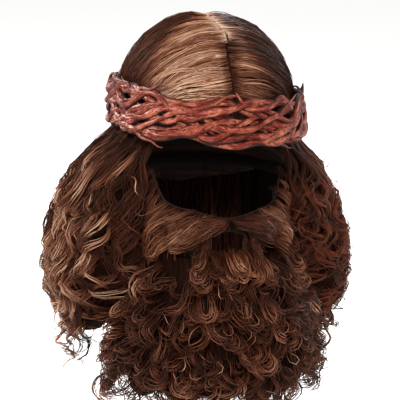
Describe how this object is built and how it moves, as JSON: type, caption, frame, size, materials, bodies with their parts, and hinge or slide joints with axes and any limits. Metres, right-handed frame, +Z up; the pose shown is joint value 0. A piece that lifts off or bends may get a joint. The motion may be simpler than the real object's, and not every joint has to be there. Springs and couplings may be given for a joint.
{
  "type": "wig and beard set with twig crown",
  "caption": "Costume wig of long curly hair with a centre parting, a full curly beard with moustache on its elastic, and a woven twig crown, kept in their worn form.",
  "frame": {"origin": "top of the wearer's head, just inside the wig cap", "axes": "+Z up, the wearer faces -Y, +X is the wearer's left"},
  "size_m": [0.2995, 0.2782, 0.3713],
  "materials": {
    "hair": "satin",
    "wig_cap": "matt",
    "beard_backing": "matt",
    "elastic": "matt",
    "twig_crown": "satin"
  },
  "bodies": {
    "root": {"back_hair": "hair", "beard_backing": "beard_backing", "beard_elastic": "elastic", "beard_hair": "hair", "moustache_left": "hair", "moustache_right": "hair", "side_hair_left": "hair", "side_hair_right": "hair", "top_hair_left": "hair", "top_hair_right": "hair", "twig_crown": "twig_crown", "wig_cap": "wig_cap"}
  },
  "joints": []
}
